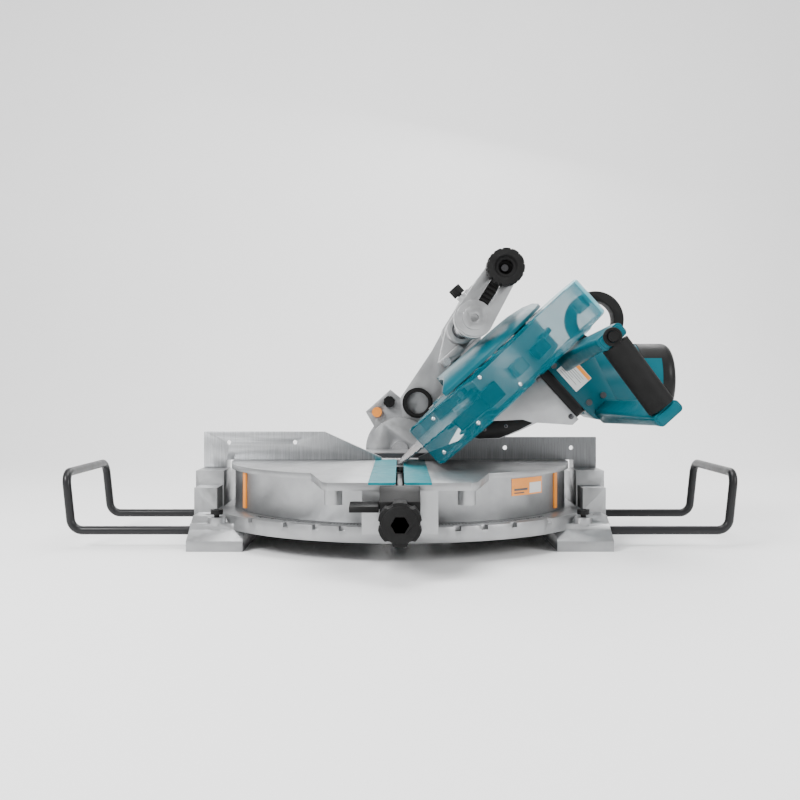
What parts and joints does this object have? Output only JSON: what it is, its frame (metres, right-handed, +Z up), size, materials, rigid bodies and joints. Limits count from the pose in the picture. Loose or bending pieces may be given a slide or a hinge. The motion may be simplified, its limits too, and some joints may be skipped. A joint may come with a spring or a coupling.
{
  "type": "sliding compound mitre saw",
  "caption": "Bench sliding compound mitre saw: turntable with fence, tilting arm with twin slide poles, geared saw head with clear guard, and pull-out work supports.",
  "frame": {"origin": "centre of the four bench-bolt holes on the face that rests on the bench, on the turntable's axis", "axes": "+X to the operator's right along the fence, +Y to the back along the slide, +Z up"},
  "size_m": [0.99, 0.792, 0.4322],
  "materials": {
    "cast_aluminium": "blasted and clear-coated casting",
    "machined_aluminium": "machined face",
    "dark_steel": "blackened steel",
    "bright_steel": "zinc-plated or ground steel",
    "black_rod": "black powder coat on steel rod",
    "teal_plastic": "glass-filled nylon, teal, satin",
    "clear_plastic": "tinted clear polycarbonate",
    "kerf_plastic": "teal kerf board plastic",
    "black_plastic": "black nylon",
    "black_rubber": "black over-mould",
    "orange_plastic": "orange nylon",
    "blade_steel": "ground saw plate",
    "copper_core": "laminations and windings",
    "bronze": "sintered bronze"
  },
  "bodies": {
    "base": {"base_casting": "cast_aluminium", "pivot_bolt": "bright_steel", "rod_clamp_screws": "black_plastic", "fence_left": "machined_aluminium", "fence_right": "machined_aluminium", "fence_bridge": "dark_steel", "fence_bolts": "dark_steel"},
    "support_left": {"work_support_left": "black_rod"},
    "support_right": {"work_support_right": "black_rod"},
    "turntable": {"turntable": "cast_aluminium", "kerf_plate_left": "kerf_plastic", "kerf_plate_right": "kerf_plastic", "kerf_screws": "dark_steel", "arm_bracket": "black_plastic", "detent_spring": "bright_steel", "side_strips": "orange_plastic"},
    "mitre_grip": {"mitre_grip": "black_rubber", "mitre_clamp_rod": "bright_steel"},
    "detent_lever": {"detent_lever": "black_plastic"},
    "bevel_arm": {"bevel_arm": "cast_aluminium", "bevel_shaft": "bright_steel", "bevel_nut": "bright_steel", "dust_elbow": "black_rubber", "upper_pole": "bright_steel", "lower_pole": "bright_steel", "pole_holder": "cast_aluminium", "pole_insert": "black_plastic"},
    "bevel_lock": {"bevel_lock_knob": "black_rubber", "bevel_clamp_rod": "bright_steel"},
    "release_button": {"release_button": "orange_plastic"},
    "bevel_stop_knob": {"bevel_stop_knob": "black_plastic"},
    "carriage": {"carriage": "cast_aluminium", "pole_bushes": "bronze", "head_pin": "bright_steel", "lift_spring": "bright_steel", "stop_bolt": "bright_steel"},
    "slide_lock": {"slide_lock_screw": "black_plastic"},
    "head": {"blade_case": "cast_aluminium", "side_cover": "teal_plastic", "gear_housing": "cast_aluminium", "joint_ring": "black_plastic", "motor_housing": "teal_plastic", "end_cap": "black_plastic", "cap_panel": "teal_plastic", "stator": "copper_core", "bearings": "bright_steel", "handle_frame": "teal_plastic", "grip_sleeve": "black_rubber", "switch": "black_plastic", "carry_handle": "black_rubber", "head_screws": "dark_steel"},
    "blade": {"blade": "blade_steel", "blade_flanges": "bright_steel", "arbor_bolt": "dark_steel", "spindle": "bright_steel"},
    "countershaft": {"countershaft_gear": "bright_steel"},
    "armature": {"armature": "copper_core"},
    "lower_guard": {"lower_guard": "clear_plastic"},
    "trigger": {"trigger": "black_plastic"},
    "lock_off": {"lock_off_button": "black_plastic"}
  },
  "joints": [
    {"name": "support_left_slide", "type": "slide", "parent": "base", "child": "support_left", "axis": [1, 0, 0], "range_m": [0, 0.14]},
    {"name": "support_right_slide", "type": "slide", "parent": "base", "child": "support_right", "axis": [-1, 0, 0], "range_m": [0, 0.14]},
    {"name": "mitre_turn", "type": "hinge", "parent": "base", "child": "turntable", "pos_m": [0, 0, 0.05], "axis": [0, 0, 1], "range_deg": [-47, 47]},
    {"name": "mitre_clamp", "type": "hinge", "parent": "turntable", "child": "mitre_grip", "pos_m": [0, -0.43, 0.073], "axis": [0, -1, 0], "range_deg": [0, 270]},
    {"name": "detent_release", "type": "hinge", "parent": "turntable", "child": "detent_lever", "pos_m": [-0.04, -0.388, 0.088], "axis": [1, 0, 0], "range_deg": [0, 12], "stiffness_Nm_per_rad": 0.6, "springref_deg": -28.65},
    {"name": "bevel_tilt", "type": "hinge", "parent": "turntable", "child": "bevel_arm", "pos_m": [0, 0.3, 0.116], "axis": [0, 1, 0], "range_deg": [-95, 0]},
    {"name": "bevel_clamp", "type": "hinge", "parent": "bevel_arm", "child": "bevel_lock", "pos_m": [0.14971, -0.205, 0.40555], "axis": [0, -1, 0], "range_deg": [0, 180]},
    {"name": "bevel_release_press", "type": "slide", "parent": "bevel_arm", "child": "release_button", "axis": [0, 1, 0], "range_m": [0, 0.004], "stiffness_N_per_m": 900, "springref_m": -0.002},
    {"name": "bevel_stop_pull", "type": "slide", "parent": "bevel_arm", "child": "bevel_stop_knob", "axis": [0, -1, 0], "range_m": [0, 0.008], "stiffness_N_per_m": 500, "springref_m": -0.003},
    {"name": "head_slide", "type": "slide", "parent": "bevel_arm", "child": "carriage", "axis": [0, -1, 0], "range_m": [0, 0.24]},
    {"name": "slide_lock_turn", "type": "hinge", "parent": "carriage", "child": "slide_lock", "pos_m": [0.09917, 0.104, 0.40041], "axis": [-0.6691, 0, 0.7431], "range_deg": [0, 270]},
    {"name": "head_pivot", "type": "hinge", "parent": "carriage", "child": "head", "pos_m": [0.1412, 0.155, 0.24313], "axis": [-0.6691, 0, 0.7431], "range_deg": [0, 42]},
    {"name": "blade_spin", "type": "hinge", "parent": "head", "child": "blade", "pos_m": [0.10924, -0.045, 0.21436], "axis": [0.6691, 0, -0.7431], "continuous": true},
    {"name": "countershaft_spin", "type": "hinge", "parent": "head", "child": "countershaft", "pos_m": [0.14298, -0.045, 0.24474], "axis": [0.6691, 0, -0.7431], "continuous": true},
    {"name": "armature_spin", "type": "hinge", "parent": "head", "child": "armature", "pos_m": [0.14104, -0.045, 0.2469], "axis": [1, 0, 0], "continuous": true},
    {"name": "guard_swing", "type": "hinge", "parent": "head", "child": "lower_guard", "pos_m": [0.10924, -0.045, 0.21436], "axis": [0.6691, 0, -0.7431], "range_deg": [0, 95]},
    {"name": "trigger_pull", "type": "slide", "parent": "head", "child": "trigger", "axis": [0, -1, 0], "range_m": [0, 0.005], "stiffness_N_per_m": 800, "springref_m": -0.002},
    {"name": "lock_off_press", "type": "slide", "parent": "head", "child": "lock_off", "axis": [0, 1, 0], "range_m": [0, 0.004], "stiffness_N_per_m": 600, "springref_m": -0.002}
  ],
  "couplings": [
    {"joint": "guard_swing", "follows": "head_pivot", "ratio": 2.2619},
    {"joint": "countershaft_spin", "follows": "blade_spin", "ratio": -2},
    {"joint": "armature_spin", "follows": "blade_spin", "ratio": 7.0909}
  ]
}
